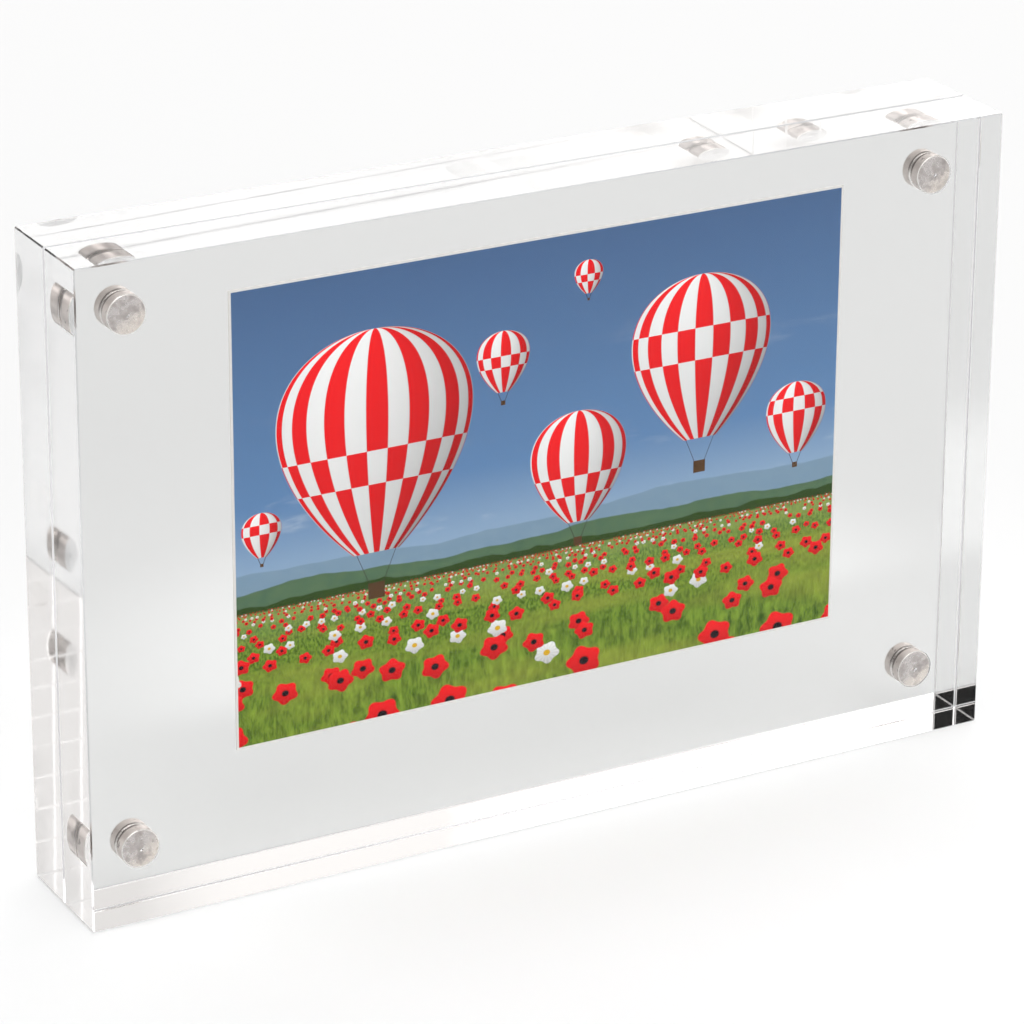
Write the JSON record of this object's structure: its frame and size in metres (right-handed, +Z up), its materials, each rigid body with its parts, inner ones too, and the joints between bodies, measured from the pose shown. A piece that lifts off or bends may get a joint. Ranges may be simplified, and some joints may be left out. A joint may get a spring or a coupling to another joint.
{
  "type": "acrylic block frame",
  "caption": "Free-standing clear acrylic block photo frame: bevelled slabs held face to face by disc magnets near their corners, clamping a flat photo print between them.",
  "frame": {"origin": "middle of the base, on the plane midway between the slabs", "axes": "+X across the picture to the viewer's right, -Y towards the viewer, +Z up"},
  "size_m": [0.1524, 0.0206, 0.101],
  "materials": {
    "clear_acrylic": "water-clear cast acrylic, flame polished on every face",
    "nickel_plate": "bright nickel plating",
    "photo_paper": "resin-coated photo paper with a printed front and a white back"
  },
  "bodies": {
    "rear": {"rear_block": "clear_acrylic", "rear_magnet_top_left": "nickel_plate", "rear_magnet_top_right": "nickel_plate", "rear_magnet_bottom_left": "nickel_plate", "rear_magnet_bottom_right": "nickel_plate"},
    "front": {"front_block": "clear_acrylic", "front_magnet_top_left": "nickel_plate", "front_magnet_top_right": "nickel_plate", "front_magnet_bottom_left": "nickel_plate", "front_magnet_bottom_right": "nickel_plate"},
    "print": {"photo_print": "photo_paper"}
  },
  "joints": [
    {"name": "front_pull", "type": "slide", "parent": "rear", "child": "front", "axis": [0, -1, 0], "range_m": [0, 0.06]},
    {"name": "print_lift", "type": "slide", "parent": "rear", "child": "print", "axis": [0, 0, 1], "range_m": [0, 0.085]}
  ]
}
